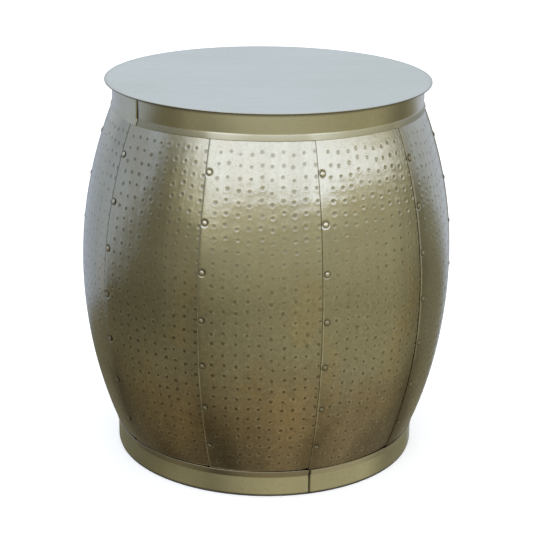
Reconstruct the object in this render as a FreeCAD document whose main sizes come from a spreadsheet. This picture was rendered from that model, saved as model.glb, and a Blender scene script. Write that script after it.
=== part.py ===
import FreeCAD, Part
import math
import os
import Sketcher
from FreeCAD import Placement, Rotation, Vector

# Drum side table in sheet metal: a barrel of lapped, riveted staves between two plain collars,
# under a thin flat round top. Millimetres, +Z up, origin on the floor under the centre of the drum.
# The front of the table faces -Y. Angles about Z are counted from +X, in degrees.

DRIVING_SIZES = {
    # name: (value, meaning)
    "overall_height": (457, "floor to the upper face of the top"),
    "top_diameter": (386, "round top, rim to rim"),
    "top_thickness": (1.5, "sheet of the top"),
    "top_edge_round": (0.6, "rounding of the rim of the top"),
    "collar_diameter": (368.4, "outside of both collar bands"),
    "collar_height": (31, "collar from its flange face to the end of its lip"),
    "collar_lip_height": (7.5, "part of the collar that is bent out over the barrel"),
    "collar_thickness": (1.2, "sheet of the collars"),
    "collar_flange_width": (10, "turned-in flange, from the outside of the band inwards"),
    "collar_corner_round": (2.0, "outer radius of the bend between band and flange"),
    "collar_lip_bend": (4.0, "outer radius of the bend between band and lip"),
    "collar_seam_gap": (0.4, "slit where the two ends of a collar strip meet"),
    "upper_seam_direction": (-142, "where the upper collar strip ends meet"),
    "base_seam_direction": (-73.2, "where the base ring strip ends meet"),
    "belly_diameter": (448, "widest outside diameter of the barrel"),
    "stave_count": (10, "staves round the barrel"),
    "neck_end_margin": (1.0, "height from the start of a collar lip to where the staves begin to swell"),
    "stave_thickness": (1.0, "sheet of the staves"),
    "stave_lap_width": (10, "overlap of two staves, measured round the belly"),
    "first_seam_direction": (-108.45, "rivet line between the last stave and the first"),
    "rivets_per_half": (3, "rivets of a seam above the one at the belly, and again below it"),
    "rivet_end_margin": (34, "height from a collar lip to the nearest rivet"),
    "rivet_head_diameter": (7.0, "domed head"),
    "rivet_head_height": (1.8, "domed head"),
    "rivet_shank_diameter": (3.2, "shank"),
    "rivet_tail_diameter": (5.0, "head formed on the inside of the barrel"),
    "rivet_tail_height": (1.2, "head formed on the inside of the barrel"),
    "hoop_width": (20, "upright width of the flat bar of a hoop"),
    "hoop_thickness": (3, "flat bar of a hoop"),
    "brace_depth": (20, "upright depth of the bars under the top"),
    "brace_thickness": (4, "bars under the top"),
    "foot_ring_thickness": (1.5, "flat rubber ring glued under the base ring"),
    "foot_ring_inset": (1.0, "rubber ring set back from both edges of the flange"),
    "sheet_clearance": (0.05, "gap between two sheets that lie on each other"),
    "lip_clearance": (0.1, "gap between the end of a collar lip and the barrel"),
    "stave_end_gap": (0.2, "gap between the end of a stave and the bend of its collar"),
    "rivet_hole_clearance": (0.1, "gap round a shank"),
    "rivet_seat_clearance": (0.03, "gap under a flat head on the round barrel"),
    "brace_clearance": (0.05, "gap round the bars where they fit"),
    "brace_notch_clearance": (0.3, "gap between a bar's notch and the edge of the flange"),
}

DERIVED_SIZES = {
    # The drum stands on its rubber ring, and the flanges of both collars close its ends.
    "top_underside": "Sizes.overall_height - Sizes.top_thickness",
    "barrel_middle": "(Sizes.foot_ring_thickness + top_underside) / 2",
    "collar_radius": "Sizes.collar_diameter / 2",
    "collar_inner_radius": "collar_radius - Sizes.collar_thickness",
    "flange_inner_radius": "collar_radius - Sizes.collar_flange_width",
    "base_flange_face": "Sizes.foot_ring_thickness + Sizes.collar_thickness",
    "top_flange_face": "top_underside - Sizes.collar_thickness",
    # Each stave lies over the one before it and under the one after it, like a shingle, so the
    # centre of its round section stands a little to the side of the centre of the drum.
    "belly_radius": "Sizes.belly_diameter / 2",
    "stave_pitch": "360 / Sizes.stave_count",
    "lap_angle": "Sizes.stave_lap_width / belly_radius * 180 / pi",
    "stave_span": "stave_pitch + lap_angle",
    # The upright curve of the barrel swells from its necks to the belly.
    "lip_start_height": "Sizes.collar_height - Sizes.collar_lip_height",
    "neck_end_height": "Sizes.foot_ring_thickness + lip_start_height + Sizes.neck_end_margin",
    "neck_end_offset": "barrel_middle - neck_end_height",
    "barrel_swell": "belly_radius - collar_inner_radius + Sizes.sheet_clearance",
    "stave_arc_radius": "(barrel_swell ^ 2 + neck_end_offset ^ 2) / (2 * barrel_swell)",
    "barrel_arc_centre": "belly_radius - stave_arc_radius",
    "neck_slope": "acos((collar_inner_radius - barrel_arc_centre) / stave_arc_radius)",
    "lap_step": "Sizes.stave_thickness / cos(neck_slope) + Sizes.sheet_clearance",
    "stave_shift": "lap_step / (sin(stave_span / 2) + sin(stave_span / 2 - lap_angle))",
    "stave_edge_step": "stave_shift * sin(stave_span / 2)",
    "stave_rivet_step": "stave_shift * sin(stave_pitch / 2)",
    "stave_belly_radius": "belly_radius - stave_edge_step",
    "stave_turn": "stave_shift * cos(stave_span / 2) / stave_belly_radius * 180 / pi",
    "stave_arc_centre": "stave_belly_radius - stave_arc_radius",
    "stave_neck_radius": "collar_inner_radius - Sizes.sheet_clearance - stave_edge_step",
    "collar_inner_round": "Sizes.collar_corner_round - Sizes.collar_thickness",
    "stave_foot": "base_flange_face + collar_inner_round + Sizes.stave_end_gap",
    "stave_head": "top_flange_face - collar_inner_round - Sizes.stave_end_gap",
    # The lip of a collar leans out at the slope of the barrel and ends just clear of it.
    "lip_end_offset": "barrel_middle - Sizes.foot_ring_thickness - Sizes.collar_height",
    "lip_end_barrel": "barrel_arc_centre + sqrt(stave_arc_radius ^ 2 - lip_end_offset ^ 2)",
    "lip_end_radius": "lip_end_barrel + Sizes.lip_clearance",
    "lip_flare": "atan((lip_end_radius - collar_inner_radius) / Sizes.collar_lip_height)",
    "lip_outer_start": "lip_start_height - Sizes.collar_thickness * tan(lip_flare / 2)",
    "lip_outer_end": "Sizes.collar_height - Sizes.collar_thickness * sin(lip_flare)",
    "lip_outer_radius": "lip_end_radius + Sizes.collar_thickness * cos(lip_flare)",
    "lip_inner_bend": "Sizes.collar_lip_bend + Sizes.collar_thickness",
    "sheet_edge_round": "Sizes.collar_thickness * 0.3",
    "collar_sweep": "360 - Sizes.collar_seam_gap / collar_radius * 180 / pi",
    # Rivets stand square to the barrel, evenly spaced along its upright curve.
    "rivet_reach": "asin((lip_end_offset - Sizes.rivet_end_margin) / stave_arc_radius)",
    "rivet_seat": "belly_radius - stave_edge_step + stave_rivet_step + Sizes.rivet_seat_clearance",
    "rivet_grip": "Sizes.stave_thickness + lap_step + Sizes.rivet_seat_clearance * 2",
    "rivet_tail_face": "rivet_seat - rivet_grip",
    "rivet_hole_radius": "Sizes.rivet_shank_diameter / 2 + Sizes.rivet_hole_clearance",
    "drill_inside": "rivet_tail_face - Sizes.rivet_tail_height",
    "drill_outside": "rivet_seat + Sizes.rivet_head_height",
    # Hoops line the necks of the staves, and the crossed bars fit inside the upper hoop.
    "hoop_radius": "stave_neck_radius - Sizes.stave_thickness - stave_edge_step - Sizes.sheet_clearance",
    "hoop_inner_radius": "hoop_radius - Sizes.hoop_thickness",
    "brace_reach": "sqrt(hoop_inner_radius ^ 2 - Sizes.brace_thickness ^ 2 / 4) - Sizes.brace_clearance",
    "brace_shoulder": "flange_inner_radius - Sizes.brace_notch_clearance",
    "brace_bottom": "top_underside - Sizes.brace_depth",
    "brace_waist": "top_underside - Sizes.brace_depth / 2",
    "brace_slot": "Sizes.brace_thickness / 2 + Sizes.brace_clearance",
    "foot_ring_radius": "collar_radius - Sizes.foot_ring_inset",
    "foot_ring_inner_radius": "flange_inner_radius + Sizes.foot_ring_inset",
}

doc = FreeCAD.newDocument("DrumSideTable")


def make_sheet(name, cells):
    """Fill a spreadsheet with one aliased row for each size."""
    sheet = doc.addObject("Spreadsheet::Sheet", name)
    for row, (alias, content, meaning) in enumerate(cells, start=1):
        sheet.set(f"A{row}", alias)
        sheet.set(f"B{row}", content)
        sheet.set(f"C{row}", meaning)
        sheet.setAlias(f"B{row}", alias)
    doc.recompute()
    return sheet


sizes = make_sheet("Sizes", [(name, str(value), note) for name, (value, note) in DRIVING_SIZES.items()])
derived = make_sheet("Derived", [(name, "=" + formula, "") for name, formula in DERIVED_SIZES.items()])


def number(expression):
    """Work out an expression over the two sheets."""
    result = sizes.evalExpression(expression)
    return float(getattr(result, "Value", result))


def make_body(label, turn="0"):
    """A body on the axis of the drum, turned about Z."""
    body = doc.addObject("PartDesign::Body", label)
    body.Label = label
    body.Placement = Placement(Vector(0, 0, 0), Rotation(Vector(0, 0, 1), 0))
    body.setExpression("Placement.Rotation.Angle", turn)
    return body


def make_sketch(body, name, plane, offset=None, axis=Vector(0, 0, 1), turn="0"):
    """A sketch on one of the body's own planes, moved by three expressions and turned."""
    sketch = body.newObject("Sketcher::SketchObject", f"{body.Name}_{name}")
    origin_plane = next(f for f in body.Origin.OriginFeatures if f.Role == plane)
    sketch.AttachmentSupport = [(origin_plane, "")]
    sketch.MapMode = "FlatFace"
    offset = offset or ("0", "0", "0")
    start = Vector(*[number(part) for part in offset])
    sketch.AttachmentOffset = Placement(start, Rotation(axis, 0))
    for direction, expression in zip("xyz", offset):
        sketch.setExpression(f"AttachmentOffset.Base.{direction}", expression)
    sketch.setExpression("AttachmentOffset.Rotation.Angle", turn)
    return sketch


def bind(sketch, kind, *elements, size):
    """Add a constraint whose value is an expression."""
    index = sketch.addConstraint(Sketcher.Constraint(kind, *elements, number(size)))
    sketch.setExpression(f"Constraints[{index}]", size)


def pin_point(sketch, line, end, across, up):
    """Fix one end of a line at a point given by two expressions; None keeps it on an axis."""
    origin, vertical_axis, horizontal_axis = -1, -2, -1
    if across is None:
        sketch.addConstraint(Sketcher.Constraint("PointOnObject", line, end, vertical_axis))
    else:
        bind(sketch, "DistanceX", origin, 1, line, end, size=across)
    if up is None:
        sketch.addConstraint(Sketcher.Constraint("PointOnObject", line, end, horizontal_axis))
    else:
        bind(sketch, "DistanceY", origin, 1, line, end, size=up)


def draw_outline(sketch, corners):
    """Close a polygon through corners given as pairs of expressions."""
    points = [Vector(number(x or "0"), number(y or "0"), 0) for x, y in corners]
    count = len(points)
    lines = []
    for index in range(count):
        side = Part.LineSegment(points[index], points[(index + 1) % count])
        lines.append(sketch.addGeometry(side, False))
    for index in range(count):
        after = lines[(index + 1) % count]
        sketch.addConstraint(Sketcher.Constraint("Coincident", lines[index], 2, after, 1))
    for line, (across, up) in zip(lines, corners):
        pin_point(sketch, line, 1, across, up)


def draw_rounded_outline(sketch, corners):
    """Close a polygon whose corners are given as across, up and the radius of their rounding.

    Each corner stays in the sketch as a point that both of its sides aim at."""
    points = [Vector(number(across), number(up), 0) for across, up, radius in corners]
    radii = [number(radius) for across, up, radius in corners]
    count = len(points)
    starts, ends, centres = [], [], []
    for index, (point, radius) in enumerate(zip(points, radii)):
        back = (points[index - 1] - point).normalize()
        ahead = (points[(index + 1) % count] - point).normalize()
        half = back.getAngle(ahead) / 2
        ends.append(point + back * (radius / math.tan(half)))
        starts.append(point + ahead * (radius / math.tan(half)))
        centres.append(point + (back + ahead).normalize() * (radius / math.sin(half)))
    lines = []
    for index in range(count):
        side = Part.LineSegment(starts[index], ends[(index + 1) % count])
        lines.append(sketch.addGeometry(side, False))
    for index, (across, up, radius) in enumerate(corners):
        before, after = lines[index - 1], lines[index]
        turn = (ends[index] - points[index]).cross(starts[index] - points[index]).z
        entry, leave = (ends[index], starts[index]) if turn < 0 else (starts[index], ends[index])
        first = math.atan2(entry.y - centres[index].y, entry.x - centres[index].x)
        last = math.atan2(leave.y - centres[index].y, leave.x - centres[index].x)
        circle = Part.Circle(centres[index], Vector(0, 0, 1), radii[index])
        bend = sketch.addGeometry(Part.ArcOfCircle(circle, first, last), False)
        sketch.addConstraint(Sketcher.Constraint("Tangent", before, 2, bend, 1 if turn < 0 else 2))
        sketch.addConstraint(Sketcher.Constraint("Tangent", after, 1, bend, 2 if turn < 0 else 1))
        bind(sketch, "Radius", bend, size=radius)
        corner = sketch.addGeometry(Part.Point(points[index]), True)
        pin_point(sketch, corner, 1, across, up)
        sketch.addConstraint(Sketcher.Constraint("PointOnObject", corner, 1, before))
        sketch.addConstraint(Sketcher.Constraint("PointOnObject", corner, 1, after))


def draw_circle(sketch, radius):
    """A circle about the origin of its sketch."""
    circle = sketch.addGeometry(Part.Circle(Vector(), Vector(0, 0, 1), number(radius)), False)
    sketch.addConstraint(Sketcher.Constraint("Coincident", circle, 3, -1, 1))
    bind(sketch, "Radius", circle, size=radius)


def make_revolution(body, sketch, axis, angle="360", cut=False, midplane=False):
    """Turn a profile about an axis of its sketch, as added or as removed metal."""
    kind = "Groove" if cut else "Revolution"
    feature = body.newObject(f"PartDesign::{kind}", f"{sketch.Name}_{kind}")
    feature.Profile = sketch
    feature.ReferenceAxis = (sketch, [axis])
    feature.Midplane = midplane
    feature.setExpression("Angle", angle)
    return feature


def make_pad(body, sketch, length, symmetric=False):
    """Raise a profile along the normal of its sketch."""
    pad = body.newObject("PartDesign::Pad", f"{sketch.Name}_Pad")
    pad.Profile = sketch
    pad.SideType = "Symmetric" if symmetric else "One side"
    pad.setExpression("Length", length)
    return pad


def make_fillet(body, base, radius, places):
    """Round the circular edges that lie at the given radii and heights."""
    doc.recompute()
    wanted = [(number(across), number(up)) for across, up in places]
    edges = []
    for index, edge in enumerate(base.Shape.Edges, start=1):
        if not isinstance(edge.Curve, Part.Circle):
            continue
        for across, up in wanted:
            if abs(edge.Curve.Radius - across) < 1e-4 and abs(edge.Curve.Center.z - up) < 1e-4:
                edges.append(f"Edge{index}")
    fillet = body.newObject("PartDesign::Fillet", f"{body.Name}_Fillet")
    fillet.Base = (base, edges)
    fillet.setExpression("Radius", radius)
    return fillet


def make_pattern(body, feature, axis, count, angle, reverse=False):
    """Repeat a feature about an axis; angle is from the first copy to the last."""
    pattern = body.newObject("PartDesign::PolarPattern", f"{feature.Name}_Pattern")
    pattern.Originals = [feature]
    pattern.Axis = axis
    pattern.Reversed = reverse
    pattern.setExpression("Occurrences", count)
    pattern.setExpression("Angle", angle)
    body.Tip = pattern
    doc.recompute()
    return pattern


def make_top():
    """Thin plain disc with a softened rim."""
    body = make_body("top_disc")
    sketch = make_sketch(body, "Disc", "XY_Plane", offset=("0", "0", "Derived.top_underside"))
    draw_circle(sketch, "Sizes.top_diameter / 2")
    pad = make_pad(body, sketch, "Sizes.top_thickness")
    rim_radius = "Sizes.top_diameter / 2"
    rim = [(rim_radius, "Sizes.overall_height"), (rim_radius, "Derived.top_underside")]
    make_fillet(body, pad, "min(Sizes.top_edge_round; Sizes.top_thickness * 0.45)", rim)
    return body


def make_collar(label, direction, level, sign):
    """Rolled strip with a turned-in flange at level and a lip that leans out over the barrel."""
    body = make_body(label, turn=direction)
    sketch = make_sketch(body, "Section", "XZ_Plane")

    def height(above_flange):
        return f"{level} {sign} ({above_flange})"

    flange_face = height("Sizes.collar_thickness")
    sheet_edge = "Derived.sheet_edge_round"
    corners = [
        ("Derived.flange_inner_radius", height("0"), sheet_edge),
        ("Derived.collar_radius", height("0"), "Sizes.collar_corner_round"),
        ("Derived.collar_radius", height("Derived.lip_outer_start"), "Sizes.collar_lip_bend"),
        ("Derived.lip_outer_radius", height("Derived.lip_outer_end"), sheet_edge),
        ("Derived.lip_end_radius", height("Sizes.collar_height"), sheet_edge),
        ("Derived.collar_inner_radius", height("Derived.lip_start_height"), "Derived.lip_inner_bend"),
        ("Derived.collar_inner_radius", flange_face, "Derived.collar_inner_round"),
        ("Derived.flange_inner_radius", flange_face, sheet_edge),
    ]
    draw_rounded_outline(sketch, corners)
    make_revolution(body, sketch, "V_Axis", angle="Derived.collar_sweep")
    return body


def draw_stave_section(sketch):
    """Upright section of a stave: an arc between two straight necks, one sheet thick."""
    centre = Vector(number("Derived.stave_arc_centre"), number("Derived.barrel_middle"), 0)
    foot = number("Derived.stave_foot")
    head = number("Derived.stave_head")
    skins = []
    for inset in ("0", "Sizes.stave_thickness"):
        neck = f"Derived.stave_neck_radius - {inset}"
        radius = f"Derived.stave_arc_radius - {inset}"
        across = number(neck)
        reach = math.acos((across - centre.x) / number(radius))
        rise = number(radius) * math.sin(reach)
        low = Vector(across, centre.y - rise, 0)
        high = Vector(across, centre.y + rise, 0)
        circle = Part.Circle(centre, Vector(0, 0, 1), number(radius))
        lower = sketch.addGeometry(Part.LineSegment(Vector(across, foot, 0), low), False)
        arc = sketch.addGeometry(Part.ArcOfCircle(circle, -reach, reach), False)
        upper = sketch.addGeometry(Part.LineSegment(high, Vector(across, head, 0)), False)
        sketch.addConstraint(Sketcher.Constraint("Coincident", lower, 2, arc, 1))
        sketch.addConstraint(Sketcher.Constraint("Coincident", arc, 2, upper, 1))
        sketch.addConstraint(Sketcher.Constraint("Vertical", lower))
        sketch.addConstraint(Sketcher.Constraint("Vertical", upper))
        pin_point(sketch, arc, 3, "Derived.stave_arc_centre", "Derived.barrel_middle")
        bind(sketch, "Radius", arc, size=radius)
        pin_point(sketch, lower, 1, neck, "Derived.stave_foot")
        pin_point(sketch, upper, 2, neck, "Derived.stave_head")
        skins.append((lower, upper, Vector(across, foot, 0), Vector(across, head, 0)))
    outer, inner = skins
    for line, point in ((0, 2), (1, 3)):
        end = 1 if line == 0 else 2
        cap = sketch.addGeometry(Part.LineSegment(outer[point], inner[point]), False)
        sketch.addConstraint(Sketcher.Constraint("Coincident", cap, 1, outer[line], end))
        sketch.addConstraint(Sketcher.Constraint("Coincident", cap, 2, inner[line], end))


def make_seam_sketch(body, name, turn):
    """Sketch level with the belly, whose X axis runs out through a rivet line and whose
    construction line is the axis of the barrel's upright curve."""
    offset = ("0", "0", "Derived.barrel_middle")
    sketch = make_sketch(body, name, "XY_Plane", offset=offset, turn=turn)
    across = "Derived.barrel_arc_centre"
    length = "Sizes.rivet_head_diameter"
    foot = Vector(number(across), 0, 0)
    line = sketch.addGeometry(Part.LineSegment(foot, foot + Vector(0, number(length), 0)), True)
    pin_point(sketch, line, 1, across, None)
    sketch.addConstraint(Sketcher.Constraint("Vertical", line))
    bind(sketch, "DistanceY", line, 1, line, 2, size=length)
    return sketch


def repeat_along_seam(body, feature, sketch):
    """Copy the rivet or hole at the belly up and down the upright curve of the barrel."""
    count = "Sizes.rivets_per_half + 1"
    for reverse in (False, True):
        make_pattern(body, feature, (sketch, ["Axis0"]), count, "Derived.rivet_reach", reverse)


def cut_rivet_holes(body, name, turn):
    """Drill one rivet line of a stave."""
    sketch = make_seam_sketch(body, name, turn)
    inside, outside = "Derived.drill_inside", "Derived.drill_outside"
    edge = "Derived.rivet_hole_radius"
    draw_outline(sketch, [(inside, None), (outside, None), (outside, edge), (inside, edge)])
    hole = make_revolution(body, sketch, "H_Axis", cut=True)
    repeat_along_seam(body, hole, sketch)


def make_stave(index):
    """Barrel stave number index, counted anticlockwise from the front seam on the left."""
    direction = f"Sizes.first_seam_direction + Derived.stave_pitch * {index - 0.5}"
    body = make_body(f"stave_{index:02d}", turn=direction)
    offset = (
        "Derived.stave_shift * sin(Derived.stave_turn)",
        "0",
        "Derived.stave_shift * cos(Derived.stave_turn)",
    )
    upright = Vector(0, 1, 0)
    sketch = make_sketch(body, "Section", "XZ_Plane", offset=offset, axis=upright, turn="Derived.stave_turn")
    draw_stave_section(sketch)
    make_revolution(body, sketch, "V_Axis", angle="Derived.stave_span", midplane=True)
    cut_rivet_holes(body, "LeftHoles", "-Derived.stave_pitch / 2")
    cut_rivet_holes(body, "RightHoles", "Derived.stave_pitch / 2")
    return body


def make_seam_rivets(index):
    """The rivets of the seam at the left edge of stave number index."""
    direction = f"Sizes.first_seam_direction + Derived.stave_pitch * {index - 1}"
    body = make_body(f"seam_rivets_{index:02d}", turn=direction)
    sketch = make_seam_sketch(body, "Rivet", "0")
    seat = "Derived.rivet_seat"
    tail_face = "Derived.rivet_tail_face"
    tail_end = "Derived.rivet_tail_face - Sizes.rivet_tail_height"
    crown = "Derived.rivet_seat + Sizes.rivet_head_height"
    shank = "Sizes.rivet_shank_diameter / 2"
    head = "Sizes.rivet_head_diameter / 2"
    tail = "Sizes.rivet_tail_diameter / 2"
    corners = [(crown, None), (tail_end, None), (tail_end, tail), (tail_face, tail)]
    corners += [(tail_face, shank), (seat, shank), (seat, head)]
    points = [Vector(number(x), number(y or "0"), 0) for x, y in corners]
    lines = []
    for start, end in zip(points, points[1:]):
        lines.append(sketch.addGeometry(Part.LineSegment(start, end), False))
    for line, after in zip(lines, lines[1:]):
        sketch.addConstraint(Sketcher.Constraint("Coincident", line, 2, after, 1))
    for line, (across, up) in zip(lines, corners):
        pin_point(sketch, line, 1, across, up)
    pin_point(sketch, lines[-1], 2, seat, head)
    # The dome is an arc centred on the axis of the rivet.
    rise = number("Sizes.rivet_head_height")
    half = number(head)
    radius = (half ** 2 + rise ** 2) / (2 * rise)
    centre = Vector(number(crown) - radius, 0, 0)
    circle = Part.Circle(centre, Vector(0, 0, 1), radius)
    dome = sketch.addGeometry(Part.ArcOfCircle(circle, 0, math.asin(half / radius)), False)
    sketch.addConstraint(Sketcher.Constraint("Coincident", dome, 1, lines[0], 1))
    sketch.addConstraint(Sketcher.Constraint("Coincident", dome, 2, lines[-1], 2))
    sketch.addConstraint(Sketcher.Constraint("PointOnObject", dome, 3, -1))
    rivet = make_revolution(body, sketch, "H_Axis")
    repeat_along_seam(body, rivet, sketch)
    return body


def make_ring(label, bottom, outer, inner, length):
    """Flat-sided ring about the axis of the drum."""
    body = make_body(label)
    sketch = make_sketch(body, "Ring", "XY_Plane", offset=("0", "0", bottom))
    draw_circle(sketch, outer)
    draw_circle(sketch, inner)
    make_pad(body, sketch, length)
    return body


def make_hoop(label, bottom):
    """Rolled flat bar that lines the necks of the staves."""
    return make_ring(label, bottom, "Derived.hoop_radius", "Derived.hoop_inner_radius", "Sizes.hoop_width")


def make_foot_ring():
    """Rubber ring between the base ring and the floor."""
    outer, inner = "Derived.foot_ring_radius", "Derived.foot_ring_inner_radius"
    return make_ring("rubber_foot_ring", "0", outer, inner, "Sizes.foot_ring_thickness")


def make_brace(label, turn, slot_below):
    """Flat bar on edge under the top, notched at its ends for the flange and slotted halfway
    through at its middle for the bar that crosses it."""
    body = make_body(label, turn=turn)
    sketch = make_sketch(body, "Side", "XZ_Plane")
    top, shelf = "Derived.top_underside", "Derived.top_flange_face"
    bottom, waist = "Derived.brace_bottom", "Derived.brace_waist"
    reach, shoulder, slot = "Derived.brace_reach", "Derived.brace_shoulder", "Derived.brace_slot"
    lower_right = [(slot, waist), (slot, bottom)] if slot_below else []
    lower_left = [(f"-{slot}", bottom), (f"-{slot}", waist)] if slot_below else []
    upper_right = [] if slot_below else [(slot, top), (slot, waist)]
    upper_left = [] if slot_below else [(f"-{slot}", waist), (f"-{slot}", top)]
    corners = [(f"-{reach}", bottom)] + lower_left + lower_right + [(reach, bottom)]
    corners += [(reach, shelf), (shoulder, shelf), (shoulder, top)] + upper_right + upper_left
    corners += [(f"-{shoulder}", top), (f"-{shoulder}", shelf), (f"-{reach}", shelf)]
    draw_outline(sketch, corners)
    make_pad(body, sketch, "Sizes.brace_thickness", symmetric=True)
    return body


stave_numbers = range(1, int(number("Sizes.stave_count")) + 1)
sub_parts = [
    make_top(),
    make_collar("upper_collar", "Sizes.upper_seam_direction", "Derived.top_underside", "-"),
    make_collar("base_ring", "Sizes.base_seam_direction", "Sizes.foot_ring_thickness", "+"),
    make_hoop("upper_hoop", "Derived.top_flange_face - Sizes.hoop_width"),
    make_hoop("lower_hoop", "Derived.base_flange_face"),
    make_brace("top_brace_crosswise", "0", slot_below=True),
    make_brace("top_brace_lengthwise", "90", slot_below=False),
    make_foot_ring(),
]
sub_parts += [make_stave(index) for index in stave_numbers]
sub_parts += [make_seam_rivets(index) for index in stave_numbers]
doc.recompute()

for item in doc.Objects:
    if "Invalid" in item.State or "Error" in item.State:
        raise RuntimeError(f"{item.Label} failed to build: {item.State}")
for part in sub_parts:
    if part.Shape.isNull() or not part.Shape.isValid():
        raise RuntimeError(f"{part.Label} has no valid shape")

os.makedirs("parts", exist_ok=True)
for part in sub_parts:
    part.Shape.exportStep(f"parts/{part.Label}.step")
    solids = len(part.Shape.Solids)
    print(f"{part.Label}: {solids} solid(s), {part.Shape.Volume / 1000:.2f} cm3")
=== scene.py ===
import bpy
import bmesh
import math
from mathutils import Matrix, Vector


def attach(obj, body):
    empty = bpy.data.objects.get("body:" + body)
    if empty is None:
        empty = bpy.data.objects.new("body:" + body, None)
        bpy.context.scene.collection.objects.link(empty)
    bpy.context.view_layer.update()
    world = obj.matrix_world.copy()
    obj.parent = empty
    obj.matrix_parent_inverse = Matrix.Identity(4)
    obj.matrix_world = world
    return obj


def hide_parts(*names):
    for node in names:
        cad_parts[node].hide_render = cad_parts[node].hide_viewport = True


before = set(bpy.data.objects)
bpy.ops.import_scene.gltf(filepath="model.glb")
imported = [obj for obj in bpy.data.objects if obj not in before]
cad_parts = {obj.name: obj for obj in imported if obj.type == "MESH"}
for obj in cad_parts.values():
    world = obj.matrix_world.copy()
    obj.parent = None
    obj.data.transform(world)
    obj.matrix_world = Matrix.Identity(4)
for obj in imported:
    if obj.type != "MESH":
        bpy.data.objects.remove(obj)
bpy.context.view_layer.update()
print("frame loaded")

mm = 0.001
degree = math.pi / 180
degreesPerRadian = 57.296

# Sizes of the drum in millimetres; the pieces below are drawn from these.
drum = {
    "middle": 228.5,            # height of the belly
    "bellyRadius": 224.0,
    "arcRadius": 519.992,       # upright curve of the barrel
    "neckOffset": 202.5,        # from the belly to where the barrel meets its straight necks
    "neckLength": 22.3,
    "staveCount": 10,
    "firstSeam": -108.45,       # degrees about Z, from +X
    "sheet": 1.0,
    "halfSpan": 19.279,         # degrees, half a stave with its overlap
    "halfPitch": 18.0,
    "staveShift": 1.838,        # each stave is turned about its own upright line, a little to the side
    "staveTurn": 0.4449,
    "rivetsPerSeam": 7,
    "rivetStep": 6.0508,        # degrees along the upright curve from one rivet to the next
    "rivetRadius": 223.961,     # from the axis to the seat of a rivet at the belly
}
drum["edgeStep"] = drum["staveShift"] * math.sin(math.radians(drum["halfSpan"]))
drum["rivetSeat"] = drum["rivetRadius"] - drum["bellyRadius"] + drum["arcRadius"]


# Short forms for node trees.

class Wire:
    # an output of a node; what is worked out from it adds nodes to the same tree
    def __init__(self, tree, socket):
        self.tree = tree
        self.socket = socket

    def sum(self, operation, *others):
        return addNode(self.tree, "ShaderNodeMath", dict(enumerate((self, *others))), operation=operation)

    def __rsub__(self, other):
        return self * -1 + other

    def within(self, low, high):
        return self.most(low).least(high)

    def ramp(self, start, end):
        # 0 at start, 1 at end, eased
        inputs = {"Value": self, "From Min": start, "From Max": end}
        return addNode(self.tree, "ShaderNodeMapRange", inputs, interpolation_type="SMOOTHSTEP")

    def near(self, centre, outer, inner):
        # 1 close to centre, 0 from outer on
        return (self - centre).size().ramp(outer, inner)

    def choose(self, whenOne, whenZero):
        # self is 0 or 1
        return self * (whenOne - whenZero) + whenZero

    def noise(self, scale, detail=2.0, roughness=0.5, out="Fac"):
        inputs = {"Vector": self, "Scale": scale, "Detail": detail, "Roughness": roughness}
        return addNode(self.tree, "ShaderNodeTexNoise", inputs, out)

    def blend(self, low, high):
        # the colour low where self is 0, high where it is 1; a Mix node takes its colours at 6 and 7
        low, high = (colour if isinstance(colour, Wire) else (*colour, 1.0) for colour in (low, high))
        return addNode(self.tree, "ShaderNodeMix", {0: self, 6: low, 7: high}, 2, data_type="RGBA")

    def parts(self):
        node = addNode(self.tree, "ShaderNodeSeparateXYZ", {0: self}).socket.node
        return [Wire(self.tree, socket) for socket in node.outputs]


operations = {
    "__add__": "ADD", "__sub__": "SUBTRACT", "__mul__": "MULTIPLY",
    "__truediv__": "DIVIDE", "__pow__": "POWER", "__gt__": "GREATER_THAN", "__lt__": "LESS_THAN",
    "floor": "FLOOR", "round": "ROUND", "sin": "SINE", "cos": "COSINE", "sqrt": "SQRT",
    "size": "ABSOLUTE", "least": "MINIMUM", "most": "MAXIMUM",
}
for method, kind in operations.items():
    setattr(Wire, method, lambda self, *others, kind=kind: self.sum(kind, *others))


def plug(socket, value):
    if isinstance(value, Wire):
        value.tree.links.new(value.socket, socket)
    elif value is not None:
        socket.default_value = value


def addNode(tree, kind, inputs=None, out=0, **settings):
    # makes one node and gives back one of its outputs
    node = tree.nodes.new(kind)
    for name, value in settings.items():
        setattr(node, name, value)
    for name, value in (inputs or {}).items():
        plug(node.inputs[name], value)
    return None if out is None else Wire(tree, node.outputs[out])


def combine(x, y, z):
    return addNode(x.tree, "ShaderNodeCombineXYZ", {"X": x, "Y": y, "Z": z})


def greatest(first, *others):
    for other in others:
        first = first.most(other)
    return first


def layColours(colour, *coats):
    # each coat is (amount, colour) and goes over those before it
    for amount, coat in coats:
        colour = amount.blend(colour, coat)
    return colour


def stackBumps(*layers):
    # each layer is (height, strength, distance in metres); gives the normal of them all
    normal = None
    for height, strength, distance in layers:
        inputs = {"Height": height, "Strength": strength, "Distance": distance, "Normal": normal}
        normal = addNode(height.tree, "ShaderNodeBump", inputs)
    return normal


def newTree(name, kind, inputs, outputs):
    # inputs and outputs say which kind of socket goes by each name
    tree = bpy.data.node_groups.new(name, kind)
    for direction, sockets in (("INPUT", inputs), ("OUTPUT", outputs)):
        for label, socketKind in sockets.items():
            socketKind = "NodeSocket" + socketKind
            tree.interface.new_socket(name=label, in_out=direction, socket_type=socketKind)
    source = tree.nodes.new("NodeGroupInput")
    target = tree.nodes.new("NodeGroupOutput")
    given = {socket.name: Wire(tree, socket) for socket in source.outputs if socket.name}
    return tree, given, target


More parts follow.
